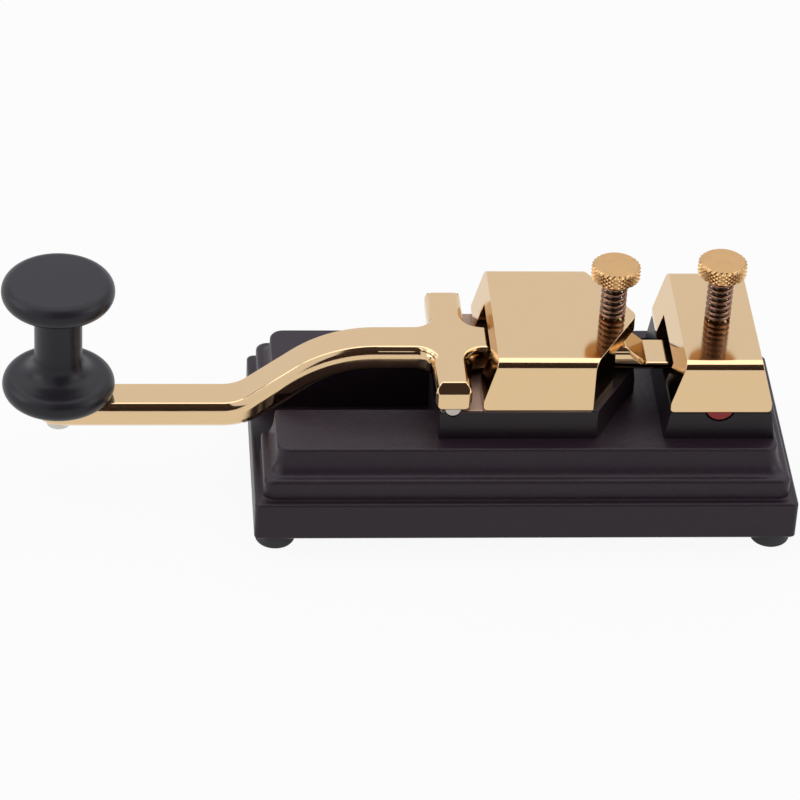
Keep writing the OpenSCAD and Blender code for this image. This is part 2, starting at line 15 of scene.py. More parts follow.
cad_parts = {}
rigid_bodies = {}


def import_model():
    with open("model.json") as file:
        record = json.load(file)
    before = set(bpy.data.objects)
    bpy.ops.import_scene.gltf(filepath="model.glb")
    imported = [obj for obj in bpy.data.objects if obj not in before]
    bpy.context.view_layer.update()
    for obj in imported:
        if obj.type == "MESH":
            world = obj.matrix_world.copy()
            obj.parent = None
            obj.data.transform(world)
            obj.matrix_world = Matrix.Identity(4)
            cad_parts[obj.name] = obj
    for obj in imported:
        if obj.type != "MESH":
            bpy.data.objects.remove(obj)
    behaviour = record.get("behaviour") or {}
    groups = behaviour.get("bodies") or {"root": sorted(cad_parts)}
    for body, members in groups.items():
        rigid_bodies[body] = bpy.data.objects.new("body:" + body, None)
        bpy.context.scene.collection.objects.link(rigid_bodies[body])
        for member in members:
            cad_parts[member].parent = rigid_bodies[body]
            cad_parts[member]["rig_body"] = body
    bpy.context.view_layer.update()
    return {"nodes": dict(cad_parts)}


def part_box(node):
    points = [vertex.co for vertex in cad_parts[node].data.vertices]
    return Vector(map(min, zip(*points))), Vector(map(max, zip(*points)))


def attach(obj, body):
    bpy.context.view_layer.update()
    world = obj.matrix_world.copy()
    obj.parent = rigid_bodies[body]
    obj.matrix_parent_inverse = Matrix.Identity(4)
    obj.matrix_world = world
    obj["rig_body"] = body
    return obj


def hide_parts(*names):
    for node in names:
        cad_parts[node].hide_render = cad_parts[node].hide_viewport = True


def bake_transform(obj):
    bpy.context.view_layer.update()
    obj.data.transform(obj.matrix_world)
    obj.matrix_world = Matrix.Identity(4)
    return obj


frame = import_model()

nodes = frame["nodes"]
MM = 0.001  # a millimetre in metres

# %% [markdown]
# ## The camera
# The photograph was taken from in front, a little to the left and well above the key, with a long lens.
# The camera's place and turn were worked out once from the key's own symmetry in the photograph, so the
# render lines up with it. A longer lens from further away would draw the far edge of the base almost as
# long as the near one.

# %% Camera
LENS_MM, SENSOR_MM = 184.38, 36.0
CAMERA_PLACE = (-0.0820165, -0.8616746, 0.6492232)
camera_data = bpy.data.cameras.new("camera")
camera_data.lens = LENS_MM
camera_data.sensor_width = SENSOR_MM
camera = bpy.data.objects.new("camera", camera_data)
bpy.context.scene.collection.objects.link(camera)
right = Vector((0.99698249, -0.06300338, 0.04534853))
up = Vector((0.00026228, 0.58691744, 0.80964674))
back = Vector((-0.07762632, -0.80719173, 0.58516294))
turn = Matrix((right, up, back)).transposed()
camera.matrix_world = Matrix.Translation(CAMERA_PLACE) @ turn.to_4x4()
bpy.context.scene.camera = camera
print("camera", [round(v, 3) for v in camera.location], "lens", camera_data.lens)

# %% [markdown]
# ## One function for nodes
# Every material below is a small tree of nodes. The first function adds one node: its own settings go
# in by name, and each input gets either a number or another node's output. Colours are written as the
# hex values that an artist reads off a screen, so a second function turns them into linear light.
# Patterns are laid out in real millimetres on the object, so that their scale is true on every part.


# %% Helpers for materials
def add(tree, kind, inputs=None, **settings):
    """Adds one shader node and returns it."""
    node = tree.nodes.new("ShaderNode" + kind)
    for name, value in settings.items():
        setattr(node, name, value)
    for name, value in (inputs or {}).items():
        if isinstance(value, bpy.types.NodeSocket):
            tree.links.new(value, node.inputs[name])
        else:
            node.inputs[name].default_value = value
    return node


def linear(hex_colour):
    """An sRGB hex colour as linear red, green, blue and alpha."""
    parts = [int(hex_colour[i : i + 2], 16) / 255 for i in (1, 3, 5)]
    return [p / 12.92 if p < 0.04045 else ((p + 0.055) / 1.055) ** 2.4 for p in parts] + [1.0]


def new_finish(name, colour, roughness, metallic=0.0, **inputs):
    """A material with one Principled shader. Returns the material, its tree and the shader."""
    material = bpy.data.materials.new(name)
    material.use_nodes = True
    tree = material.node_tree
    shader = tree.nodes["Principled BSDF"]
    shader.inputs["Base Color"].default_value = linear(colour)
    shader.inputs["Roughness"].default_value = roughness
    shader.inputs["Metallic"].default_value = metallic
    for socket, value in inputs.items():
        shader.inputs[socket.replace("_", " ")].default_value = value
    material.diffuse_color = linear(colour)
    return material, tree, shader


def pattern_space(tree, size_mm, per_axis=(1, 1, 1), middle=(0, 0, 0)):
    """Object coordinates about a middle, where one unit is the size given in millimetres."""
    coordinates = add(tree, "TexCoord")
    steps = [1000.0 / (size_mm * a) for a in per_axis]
    shift = [-m * MM * s for m, s in zip(middle, steps)]
    inputs = {"Vector": coordinates.outputs["Object"], "Scale": steps, "Location": shift}
    return add(tree, "Mapping", inputs).outputs["Vector"]


def spread(tree, value, low, high, lowest=0.0, highest=1.0):
    """Stretches a texture's values from low...high to lowest...highest."""
    inputs = {"Value": value, "From Min": low, "From Max": high, "To Min": lowest, "To Max": highest}
    return add(tree, "MapRange", inputs).outputs["Result"]


print("white is", linear("#ffffff"))

# %% [markdown]
# ## Gold plate on polished brass
# The lever and both blocks are milled from brass, polished and plated with pale gold. Such a surface is
# a mirror, so most of its look comes from the white table and the dark room that it reflects. What makes
# it real are very faint polishing lines along the part and a little haze where the plating is uneven.


# %% Polished gold
SCRATCH_DEPTH = 0.01 * MM
HAZE_MM = 5.0


def gold_finish(name, colour, roughness, line_strength, line_mm):
    """Gold plate with fine lines in one direction and soft clouds of haze."""
    material, tree, shader = new_finish(name, colour, roughness, metallic=1.0)
    line_space = pattern_space(tree, 1.0, line_mm)
    lines = add(tree, "TexNoise", {"Vector": line_space, "Scale": 1.0, "Detail": 2.0})
    haze = add(tree, "TexNoise", {"Vector": pattern_space(tree, HAZE_MM), "Scale": 1.0, "Detail": 3.0})
    uneven = spread(tree, haze.outputs["Fac"], 0.3, 0.75, roughness * 0.8, roughness * 1.3)
    tree.links.new(uneven, shader.inputs["Roughness"])
    relief = {"Height": lines.outputs["Fac"], "Strength": line_strength, "Distance": SCRATCH_DEPTH}
    bump = add(tree, "Bump", relief)
    tree.links.new(bump.outputs["Normal"], shader.inputs["Normal"])
    return material


# Polishing lines are finer than this on the real part. They are drawn 0.12 mm apart so that they show.
polished_gold = gold_finish("gold plate, polished", "#debf94", 0.1, 0.3, (12.0, 0.12, 0.12))
print("polished gold, haze clouds of", HAZE_MM, "mm")

# %% [markdown]
# ## Gold plate on turned brass
# The thumb screws are turned on a lathe, which leaves fine rings round their axis. Each head has its own
# middle, so the rings are drawn about that point. The knurled edge keeps the rougher look of the tool.


# %% Turned gold
SMOOTHEST, ROUGHEST = 0.26, 0.32
RING_MM = 0.3  # the real tool moves 0.08 mm at each turn; the rings are drawn wider so that they show
RING_SCALE = 0.31831  # at this scale a Wave texture makes about one ring for each unit


def turned_gold(name, middle):
    """Gold plate with the rings of a lathe tool about an upright axis."""
    material, tree, shader = new_finish(name, "#c79f6d", SMOOTHEST, metallic=1.0)
    place = pattern_space(tree, RING_MM, middle=middle)
    rings = add(tree, "TexWave", {"Vector": place, "Scale": RING_SCALE, "Distortion": 0.6, "Detail": 1.0},
                wave_type="RINGS", rings_direction="Z", wave_profile="SIN")
    bump = add(tree, "Bump", {"Height": rings.outputs["Fac"], "Strength": 0.05, "Distance": SCRATCH_DEPTH})
    tree.links.new(bump.outputs["Normal"], shader.inputs["Normal"])
    haze = add(tree, "TexNoise", {"Vector": pattern_space(tree, HAZE_MM / 2), "Scale": 1.0, "Detail": 3.0})
    uneven = spread(tree, haze.outputs["Fac"], 0.3, 0.7, SMOOTHEST, ROUGHEST)
    tree.links.new(uneven, shader.inputs["Roughness"])
    return material


def middle_of(node):
    """The middle of a CAD node's box, in millimetres."""
    low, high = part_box(node)
    return [(a + b) / 2 / MM for a, b in zip(low, high)]


tension_gold = turned_gold("gold plate, turned, tension screw", middle_of("tension_screw"))
gap_gold = turned_gold("gold plate, turned, contact screw", middle_of("gap_screw"))
print("tension screw at", [round(v, 1) for v in middle_of("tension_screw")])

# %% [markdown]
# ## Black finishes
# The base is cast iron under a thick black enamel that keeps a little of the casting's roughness. The
# pedestal under the contact block is a moulded insulator, and the knob is turned from black acetal.
# Blacks differ in how they shine more than in colour, so one function makes them all: each has its own
# roughness and grain, and the enamel has wide soft waves as well, where it covers the cast iron.


# %% Enamel, mouldings and rubber
WAVE_MM, WAVE_DEPTH = 6.0, 0.15 * MM
DULL = {"Specular_IOR_Level": 0.27}  # a dull skin mirrors about half as much as clear varnish


def black_finish(name, colour, roughness, grain_mm, depth_mm, specks=0.0, waves_mm=0.0, **inputs):
    """A black surface with a grain of the given width and depth, and soft waves if it was cast."""
    material, tree, shader = new_finish(name, colour, roughness, **inputs)
    place = pattern_space(tree, grain_mm)
    grain = add(tree, "TexNoise", {"Vector": place, "Scale": 1.0, "Detail": 4.0, "Roughness": 0.6})
    bump = add(tree, "Bump", {"Height": grain.outputs["Fac"], "Strength": 1.0, "Distance": depth_mm * MM})
    if waves_mm:
        swell = add(tree, "TexNoise", {"Vector": pattern_space(tree, waves_mm), "Scale": 1.0, "Detail": 2.0})
        relief = {"Height": swell.outputs["Fac"], "Strength": 1.0, "Distance": WAVE_DEPTH}
        waves = add(tree, "Bump", relief)
        tree.links.new(waves.outputs["Normal"], bump.inputs["Normal"])
    tree.links.new(bump.outputs["Normal"], shader.inputs["Normal"])
    if specks:
        worn = spread(tree, grain.outputs["Fac"], 0.3, 0.7, roughness - specks, roughness + specks)
        tree.links.new(worn, shader.inputs["Roughness"])
    return material


base_enamel = black_finish(
    "black enamel on cast iron", "#2b2028", 0.4, 0.9, 0.06, specks=0.06, waves_mm=WAVE_MM, **DULL
)
pedestal_enamel = black_finish("black enamel, smooth", "#20171c", 0.36, 1.6, 0.02, **DULL)
insulator = black_finish("moulded phenolic", "#20181d", 0.36, 0.5, 0.01, **DULL)
knob_acetal = black_finish(
    "turned black acetal", "#272429", 0.33, 0.3, 0.006, Specular_IOR_Level=0.25
)
foot_rubber = black_finish("moulded rubber", "#393739", 0.75, 0.25, 0.01)
socket_plastic = black_finish("moulded black nylon", "#161616", 0.5, 0.4, 0.01)

# Nylon is white here, but it is moulded and grained as the black plastics are
stop_nylon = black_finish("natural nylon", "#e6dfca", 0.45, 0.5, 0.01)
print("the enamel's waves are", WAVE_MM, "mm wide")

# %% [markdown]
# ## Steel, silver and fibre
# The screws are zinc plated or blackened steel, the springs are oiled spring wire, the rod is ground
# bright, the contact rivets are fine silver and the insulating bushes are red vulcanised fibre.
# The dark brown of the thumb screws' shanks is painted shade, for the shade between the spring's turns.


# %% Small metals and fibre
def metal_finish(name, colour, roughness, grain_mm=0.3):
    """A plain metal with slightly uneven roughness."""
    material, tree, shader = new_finish(name, colour, roughness, metallic=1.0)
    grain = add(tree, "TexNoise", {"Vector": pattern_space(tree, grain_mm), "Scale": 1.0, "Detail": 3.0})
    uneven = spread(tree, grain.outputs["Fac"], 0.0, 1.0, roughness * 0.7, roughness * 1.3)
    tree.links.new(uneven, shader.inputs["Roughness"])
    return material


zinc_plate = metal_finish("zinc-plated steel", "#c9c6be", 0.28)
# On the thumb screw shanks this dark brown is painted shade: the shade between the spring's turns.
blackened_steel_and_shank_shade = metal_finish("blackened steel", "#54453c", 0.35)
spring_wire = metal_finish("oiled spring wire", "#8b6c5a", 0.2, 0.2)
ground_steel = metal_finish("ground steel", "#b9b2aa", 0.3)
fine_silver = metal_finish("fine silver", "#e4e2dc", 0.3)

FIBRE_MM, FIBRE_DEPTH = 0.4, 0.03 * MM
red_fibre, fibre_tree, fibre_shader = new_finish("red vulcanised fibre", "#9a2b2a", 0.55)
fibre_space = pattern_space(fibre_tree, FIBRE_MM, (3, 1, 1))
fibres = add(fibre_tree, "TexNoise", {"Vector": fibre_space, "Scale": 1.0, "Detail": 4.0})
fibre_bump = add(fibre_tree, "Bump", {"Height": fibres.outputs["Fac"], "Distance": FIBRE_DEPTH})
fibre_tree.links.new(fibre_bump.outputs["Normal"], fibre_shader.inputs["Normal"])
print("materials so far:", len(bpy.data.materials))

# %% [markdown]
# ## Which part gets which finish
# A list of parts and finishes is easier to read and to change than a line of code for each part. Here
# the finish goes into the slot of each CAD mesh, which stays as it is. Further down each part is either
# copied and rounded or modelled again, and it looks its finish up in the same list.

# %% Finishes on the CAD nodes
cad_finish = {
    "base": base_enamel, "feet": foot_rubber, "foot_screws": zinc_plate,
    "pivot_pedestal": pedestal_enamel, "contact_pedestal": insulator,
    "pivot_block": polished_gold, "contact_block": polished_gold, "lever": polished_gold,
    "pivot_block_screws": blackened_steel_and_shank_shade, "contact_block_screws": blackened_steel_and_shank_shade,
    "insulating_bushes": red_fibre, "red_bush": red_fibre, "pivot_rod": ground_steel,
    "knob": knob_acetal, "knob_screw": zinc_plate, "lever_contact": fine_silver,
    "screw_contact": fine_silver, "rest_stop": stop_nylon, "tension_screw": tension_gold,
    "gap_screw": gap_gold, "tension_washer": tension_gold, "gap_washer": gap_gold,
    "tension_lock_spring": spring_wire, "gap_lock_spring": spring_wire, "return_spring": spring_wire,
    "lead_socket": socket_plastic, "socket_nut": zinc_plate,
}
for name, material in cad_finish.items():
    mesh = nodes[name].data
    mesh.materials.clear()
    mesh.materials.append(material)
print("finished nodes:", len(cad_finish), "of", len(nodes))

# %% [markdown]
# ## Machined parts with real edges
# A milled and polished edge is never perfectly sharp: it has a tiny round that catches the light as a
# bright line. The CAD solids have sharp edges, so each such part is copied, its loose triangles are
# merged into whole faces, and the edges that turn by more than a set angle are rounded by a bevel.


# %% Rounded copies of CAD nodes
SAME_POINT = 0.002 * MM  # points closer than this are one point


def joined(bm, apart, flat_degrees):
    """Merges the points of loose triangles and joins the triangles that lie in one plane."""
    bmesh.ops.remove_doubles(bm, verts=bm.verts, dist=apart)
    bmesh.ops.dissolve_limit(
        bm, angle_limit=math.radians(flat_degrees), verts=bm.verts, edges=bm.edges
    )


def merged_copy(node):
    """A CAD node's mesh with its loose triangles joined into whole faces."""
    bm = bmesh.new()
    bm.from_mesh(nodes[node].data)
    joined(bm, SAME_POINT, 0.4)
    return bm


def sharp_edges(bm, degrees):
    """The edges where the surface turns by more than this angle."""
    return [e for e in bm.edges if e.is_manifold and e.calc_face_angle(0) > math.radians(degrees)]


def round_edges(bm, edges, width_mm, segments=2):
    """Rounds these edges by a bevel of one width."""
    bmesh.ops.bevel(
        bm, geom=edges, offset=width_mm * MM, offset_type="OFFSET", affect="EDGES", segments=segments,
        profile=0.5, material=-1, clamp_overlap=False, loop_slide=True,
    )


def object_from(bm, name, material):
    """Turns the bmesh into an object with one material."""
    mesh = bpy.data.meshes.new(name)
    bm.to_mesh(mesh)
    bm.free()
    mesh.materials.append(material)
    made = bpy.data.objects.new(name, mesh)
    bpy.context.scene.collection.objects.link(made)
    return made


def finished_piece(bm, name, material, stands_for):
    """Makes the bmesh a piece that stands for a CAD node and moves with that node's body."""
    piece = object_from(bm, name, material)
    body = nodes[stands_for]["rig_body"]
    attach(piece, body)
    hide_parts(stands_for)
    return piece


def weigh_normals(piece):
    """Smooth shading in which large flat faces still look flat. Returns the modifier."""
    weighted = piece.modifiers.new("flat faces stay flat", "WEIGHTED_NORMAL")
    weighted.keep_sharp = True
    return weighted


def smooth_piece(bm, node):
    """Finishes a bmesh that stands for a CAD node and has small rounds between its flat faces."""
    for face in bm.faces:
        face.smooth = True
    piece = finished_piece(bm, node + "_finished", cad_finish[node], node)
    weigh_normals(piece).weight = 100
    return piece


# %% [markdown]
# ## Small rounds on the small parts
# The widths below are in millimetres. A polished block keeps a tight edge, a screw head or a rubber
# foot has a softer one. The loop makes one finished copy of each part, which then stands for it.

# %% Rounding each part
EDGE_DEGREES = 25
edge_rounds = {
    "pivot_block": 0.14, "contact_block": 0.14, "pivot_rod": 0.2, "knob_screw": 0.25, "rest_stop": 0.2,
    "tension_washer": 0.08, "gap_washer": 0.08, "socket_nut": 0.15, "red_bush": 0.1, "lead_socket": 0.15,
    "pivot_block_screws": 0.15, "contact_block_screws": 0.15, "foot_screws": 0.12, "feet": 0.2,
    "lever_contact": 0.1, "screw_contact": 0.1, "insulating_bushes": 0.08,
}
for node, width in edge_rounds.items():
    bm = merged_copy(node)
    sharp = sharp_edges(bm, EDGE_DEGREES)
    round_edges(bm, sharp, width)
    piece = smooth_piece(bm, node)
    print(node, "edges rounded:", len(sharp), "faces:", len(piece.data.polygons))

# %% [markdown]
# ## The lever's polished shoulders
# The lever was filed and buffed by hand, so the edge between its slanting bevel and its upright side is
# no longer an edge: it is a shoulder more than 1 mm wide. It matters, because this shoulder is what shows
# the bright line along the whole lever. The shoulders are rounded first, and the other edges after them.


# %% Lever
SHOULDERS_END, CROSSBAR_ENDS = 24.0, 21.8  # no wide shoulders right of the first or outside the second
UPPER_ROUND, LOWER_ROUND, SMALL_ROUND = 1.25, 0.7, 0.24


def shoulders(bm, low, high):
    """The edges left of the pivot block between an upright face and a face that rises by low to high."""
    found = []
    for edge in sharp_edges(bm, 30):
        width = max(abs(v.co.y) for v in edge.verts)
        if edge.verts[0].co.x < SHOULDERS_END * MM and width < CROSSBAR_ENDS * MM:
            rises = sorted((face.normal.z for face in edge.link_faces), key=abs)
            if abs(rises[0]) < 0.08 and low < rises[1] < high:
                found.append(edge)
    return found


SLIVER, NEARLY_FLAT = 0.03 * MM, 0.6  # the joints of the CAD lever leave slivers as thin as this
lever_bm = merged_copy("lever")
joined(lever_bm, SLIVER, NEARLY_FLAT)
round_edges(lever_bm, shoulders(lever_bm, 0.5, 0.85), UPPER_ROUND, segments=6)
round_edges(lever_bm, shoulders(lever_bm, -0.85, -0.5), LOWER_ROUND, segments=4)
round_edges(lever_bm, sharp_edges(lever_bm, 26), SMALL_ROUND, segments=3)
print("lever faces so far:", len(lever_bm.faces))

# %% [markdown]
# ## One sweep along the lever's two bends
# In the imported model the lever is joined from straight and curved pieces, and a polished metal shows each
# of those joints. So everything left of the hump's flat top is cut off and made anew. The outline of the
# cut is spun round the hump, pushed down the slope, spun round the dip and pushed out to the knob, all in
# one smooth strip. Half of the outline is then spun about the knob's axis, which makes the round end.

# %% Outlines that are pushed and spun
HUMP_R, DIP_R, SLOPE = 32.0, 14.0, math.radians(37.5)
ARM_MID, HUMP_MID, HUMP_START = 23.1, 41.15, -45.5  # heights of the bar's middle, and where it rises
slope_x = HUMP_START + DIP_R * math.sin(SLOPE)
slope_z = ARM_MID + DIP_R * (1 - math.cos(SLOPE))
slope_length = (HUMP_MID - slope_z - HUMP_R * (1 - math.cos(SLOPE))) / math.sin(SLOPE)
hump_end = slope_x + slope_length * math.cos(SLOPE) + HUMP_R * math.sin(SLOPE)


def open_outline(bm, x):
    """The points and edges of an open outline near this x."""
    edges = [e for e in bm.edges if e.is_boundary and abs(e.verts[0].co.x - x * MM) < 0.1 * MM]
    return list({v for e in edges for v in e.verts}) + edges


def pushed_on(bm, outline, way):
    """Extrudes an open outline by a vector in millimetres. Returns its new end."""
    edges = [e for e in outline if isinstance(e, bmesh.types.BMEdge)]
    new = bmesh.ops.extrude_edge_only(bm, edges=edges)["geom"]
    points = [v for v in new if isinstance(v, bmesh.types.BMVert)]
    bmesh.ops.translate(bm, vec=Vector(way) * MM, verts=points)
    ends = set(points)
    return points + [e for e in new if isinstance(e, bmesh.types.BMEdge) and set(e.verts) <= ends]


def swept(bm, outline, middle, axis_y, steps):
    """Spins an open outline by the slope's angle about a level axis. Returns its new end."""
    return bmesh.ops.spin(
        bm, geom=outline, cent=(middle[0] * MM, 0, middle[1] * MM), axis=(0, axis_y, 0),
        angle=SLOPE, steps=steps, use_merge=False,
    )["geom_last"]


print("the slope is", round(slope_length, 1), "mm long and the hump ends at x", round(hump_end, 1))

# %% [markdown]
# ## Along the bends to the round end
# The cut is made half a millimetre right of the hump, on the straight bar, where its outline is exact.
# The last spin goes half a turn, so the two long sides of the bar meet in the round end, and merging the
# double points closes it. The print counts the edges that do not lie between just two faces. Eight are
# left, each shorter than 0.1 mm, where the small rounds run together at the root of the tongue, out of
# sight inside the pivot block.

# %% Sweep
LEAD = 0.5
hump_cut, knob_x = hump_end + LEAD, middle_of("knob")[0]
everything = lever_bm.verts[:] + lever_bm.edges[:] + lever_bm.faces[:]
bmesh.ops.bisect_plane(
    lever_bm, geom=everything, plane_co=(hump_cut * MM, 0, 0), plane_no=(1, 0, 0), clear_inner=True
)
outline = pushed_on(lever_bm, open_outline(lever_bm, hump_cut), (-LEAD, 0, 0))
outline = swept(lever_bm, outline, (hump_end, HUMP_MID - HUMP_R), -1, steps=20)
down = (-slope_length * math.cos(SLOPE), 0, -slope_length * math.sin(SLOPE))
outline = pushed_on(lever_bm, outline, down)
outline = swept(lever_bm, outline, (HUMP_START, ARM_MID + DIP_R), 1, steps=16)
outline = pushed_on(lever_bm, outline, (knob_x - HUMP_START, 0, 0))
bmesh.ops.bisect_plane(lever_bm, geom=outline, plane_co=(0, 0, 0), plane_no=(0, 1, 0))
end_edges = [e for e in open_outline(lever_bm, knob_x) if isinstance(e, bmesh.types.BMEdge)]
front_half = [e for e in end_edges if max(v.co.y for v in e.verts) < 0.001 * MM]
points = list({v for e in front_half for v in e.verts})
bmesh.ops.spin(
    lever_bm, geom=points + front_half, cent=(knob_x * MM, 0, 0), axis=(0, 0, -1), angle=math.pi,
    steps=40, use_merge=False,
)
bmesh.ops.remove_doubles(lever_bm, verts=lever_bm.verts, dist=SAME_POINT)
bmesh.ops.recalc_face_normals(lever_bm, faces=lever_bm.faces)
print("outline edges:", len(end_edges), "odd edges:", sum(not e.is_manifold for e in lever_bm.edges))
lever = smooth_piece(lever_bm, "lever")
print("lever faces:", len(lever.data.polygons))

# %% [markdown]
# ## The two pedestals
# The pivot pedestal was painted first and its top was milled flat after that, so that the block would
# sit true. The mill took the paint off the top and off its edge, which shows as a thin metal line. The
# contact pedestal is a moulded insulator: it gets its rounds in the same loop and has no bare faces.

# %% Pedestals
milled_top = metal_finish("milled steel, dull", "#9a8274", 0.45)
NOSE_START, BARE_DEPTH = 48.0, 0.29  # the paint is left on under the block's nose
for name, edge_mm in (("pivot_pedestal", 0.3), ("contact_pedestal", 0.12)):
    bm = merged_copy(name)
    round_edges(bm, sharp_edges(bm, EDGE_DEGREES), edge_mm)
    everything = bm.verts[:] + bm.edges[:] + bm.faces[:]
    bmesh.ops.bisect_plane(bm, geom=everything, plane_co=(NOSE_START * MM, 0, 0), plane_no=(1, 0, 0))
    pedestal = smooth_piece(bm, name)
    pedestal.data.materials.append(milled_top)
    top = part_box(name)[1].z - BARE_DEPTH * MM
    bare = [f for f in pedestal.data.polygons if f.center.z > top and f.center.x < NOSE_START * MM]
    for face in bare:
        face.material_index = 1
    print(name, "bare faces:", len(bare))

# %% [markdown]
# ## Turned parts
# The knob, the screw heads and the drilled holes are round about an upright axis, so each of them is an
# outline that is spun once round. An outline is a chain of points: straight runs, and arcs for the
# knob's rims and hollow flares.


# %% Turning an outline
def arc(middle, radius, start, end, steps):
    """Points of an arc in degrees, as (distance from the axis, height) in millimetres."""
    turns = [math.radians(start + (end - start) * i / steps) for i in range(steps + 1)]
    return [(middle[0] + radius * math.cos(t), middle[1] + radius * math.sin(t)) for t in turns]


def spun(outline, centre, steps):
    """Spins an outline once about the upright axis through centre. Returns the bmesh."""
    bm = bmesh.new()
    chain = [bm.verts.new(((centre[0] + r) * MM, centre[1] * MM, z * MM)) for r, z in outline]
    edges = [bm.edges.new(pair) for pair in zip(chain, chain[1:])]
    bmesh.ops.spin(
        bm, geom=chain + edges, cent=(centre[0] * MM, centre[1] * MM, 0), axis=(0, 0, 1),
        angle=2 * math.pi, steps=steps, use_merge=True,
    )
    bmesh.ops.remove_doubles(bm, verts=bm.verts, dist=0.001 * MM)
    bmesh.ops.recalc_face_normals(bm, faces=bm.faces)
    return bm


def shade(bm, sharp_degrees):
    """Smooth shading that breaks where the surface turns by more than this angle."""
    for face in bm.faces:
        face.smooth = True
    for edge in sharp_edges(bm, sharp_degrees):
        edge.smooth = False


# %% [markdown]
# ## The cast base
# Patterns for castings have round corners so that they leave the sand cleanly, and the thick enamel
# rounds them further. The moulding is one rounded rectangle that is drawn in and lifted level by level.
# What lies inside it is cut out by one Boolean: the lever's channel, the sunk seats and holes for the
# screws, the holes for the feet and the pocket for the lead's socket.

# %% Levels of the moulding
BASE_MID, HALF_L, HALF_W, FOOT_H = 32.2, 70.0, 33.4, 4.5
CHAMFER, CHAMFER_CORNER, PLINTH_CORNER = 0.6, 0.8, 1.3
PLINTH_TOP, PLINTH_ROUND, LEDGE_CORNER, LEDGE_IN = 15.5, 0.8, 1.5, 1.9
STEP_IN, STEP_LOW, STEP_TOP, STEP_ROUND = 2.2, 15.75, 21.4, 1.3
COVE_IN, COVE_TOP, COVE_H, COVE_X, COVE_Y = 3.6, 27.4, 6.0, 1.9, 2.9
LIP, ROUND = 0.9, 2.5


def quarter(first, last, step):
    """Sine, and one minus cosine, of the angles of a quarter turn that is taken in steps of degrees."""
    turns = [math.radians(a) for a in range(first, last + 1, step)]
    return [(math.sin(t), 1 - math.cos(t)) for t in turns]


# Each level is: inset at the ends, inset at the sides, height, corner radius
levels = [(CHAMFER, CHAMFER, FOOT_H, CHAMFER_CORNER), (0, 0, FOOT_H + CHAMFER, PLINTH_CORNER)]
levels += [(0, 0, PLINTH_TOP - PLINTH_ROUND, PLINTH_CORNER)]
levels += [(PLINTH_ROUND * inward, PLINTH_ROUND * inward,
            PLINTH_TOP - PLINTH_ROUND * (1 - up), LEDGE_CORNER) for up, inward in quarter(18, 90, 18)]
levels += [(LEDGE_IN, LEDGE_IN, PLINTH_TOP, ROUND), (STEP_IN, STEP_IN, STEP_LOW, ROUND)]
levels += [(STEP_IN + STEP_ROUND * inward, STEP_IN + STEP_ROUND * inward,
            STEP_TOP - STEP_ROUND * (1 - up), ROUND) for up, inward in quarter(0, 90, 15)]
levels += [(COVE_IN + COVE_X * out, COVE_IN + COVE_Y * out, COVE_TOP - COVE_H * (1 - rise), ROUND + out)
           for out, rise in quarter(0, 90, 6)]
levels += [(COVE_IN + COVE_X + LIP * inward, COVE_IN + COVE_Y + LIP * inward, COVE_TOP + LIP * up,
            ROUND + 1 - LIP * inward) for up, inward in quarter(15, 90, 15)]
print("levels:", len(levels), "top at", round(levels[-1][2], 2), "mm")


def corner_of(place, level):
    """The middle of the corner round that a point belongs to, at one level."""
    in_x, in_y, height, radius = level
    x = BASE_MID * MM + math.copysign(HALF_L - in_x - radius, place.x - BASE_MID * MM) * MM
    return Vector((x, math.copysign(HALF_W - in_y - radius, place.y) * MM, height * MM))


# %% [markdown]
# ## Lifting one rounded rectangle
# A bevel along the mouldings would fold over itself where a hollow cove meets a corner. So the rectangle
# is extruded from level to level, and at each level every point moves about the middle of its own corner
# round. The corners stay true arcs at each height, and the faces stay four-sided.

# %% Casting
casting_bm = bmesh.new()
bmesh.ops.create_grid(casting_bm, x_segments=1, y_segments=1, size=1.0)
first = levels[0]
half_sides = ((HALF_L - first[0]) * MM, (HALF_W - first[1]) * MM, 1.0)
bmesh.ops.scale(casting_bm, vec=half_sides, verts=casting_bm.verts)
bmesh.ops.translate(casting_bm, vec=(BASE_MID * MM, 0, first[2] * MM), verts=casting_bm.verts)
bmesh.ops.bevel(
    casting_bm, geom=casting_bm.verts[:], offset=first[3] * MM, affect="VERTICES", segments=8,
    profile=0.5, material=-1,
)
rim_edges = casting_bm.edges[:]
for last, level in zip(levels, levels[1:]):
    lifted = bmesh.ops.extrude_edge_only(casting_bm, edges=rim_edges)["geom"]
    points = {v for v in lifted if isinstance(v, bmesh.types.BMVert)}
    rim_edges = [e for e in lifted if isinstance(e, bmesh.types.BMEdge) and set(e.verts) <= points]
    for vert in points:
        out = (vert.co - corner_of(vert.co, last)) / last[3]
        vert.co = corner_of(vert.co, level) + out * level[3]
bmesh.ops.holes_fill(casting_bm, edges=rim_edges, sides=0)
bmesh.ops.recalc_face_normals(casting_bm, faces=casting_bm.faces)
print("casting open edges:", sum(e.is_boundary for e in casting_bm.edges))


# %% [markdown]
# ## Holes through the casting
# The screws come up from below, with their heads sunk in wide seats, and the knob's end of the casting
# has an open channel that the lever can dip into. Each round hole is the outline of a drill or a cutter
# spun once round, and the channel and the pocket are boxes. They are made first and used all together.

# %% Hole makers
def box_between(low, high):
    """A box between two corners in millimetres."""
    bm = bmesh.new()
    bmesh.ops.create_cube(bm, size=1.0)
    bmesh.ops.scale(bm, vec=(Vector(high) - Vector(low)) * MM, verts=bm.verts)
    bmesh.ops.translate(bm, vec=(Vector(high) + Vector(low)) / 2 * MM, verts=bm.verts)
    return bm


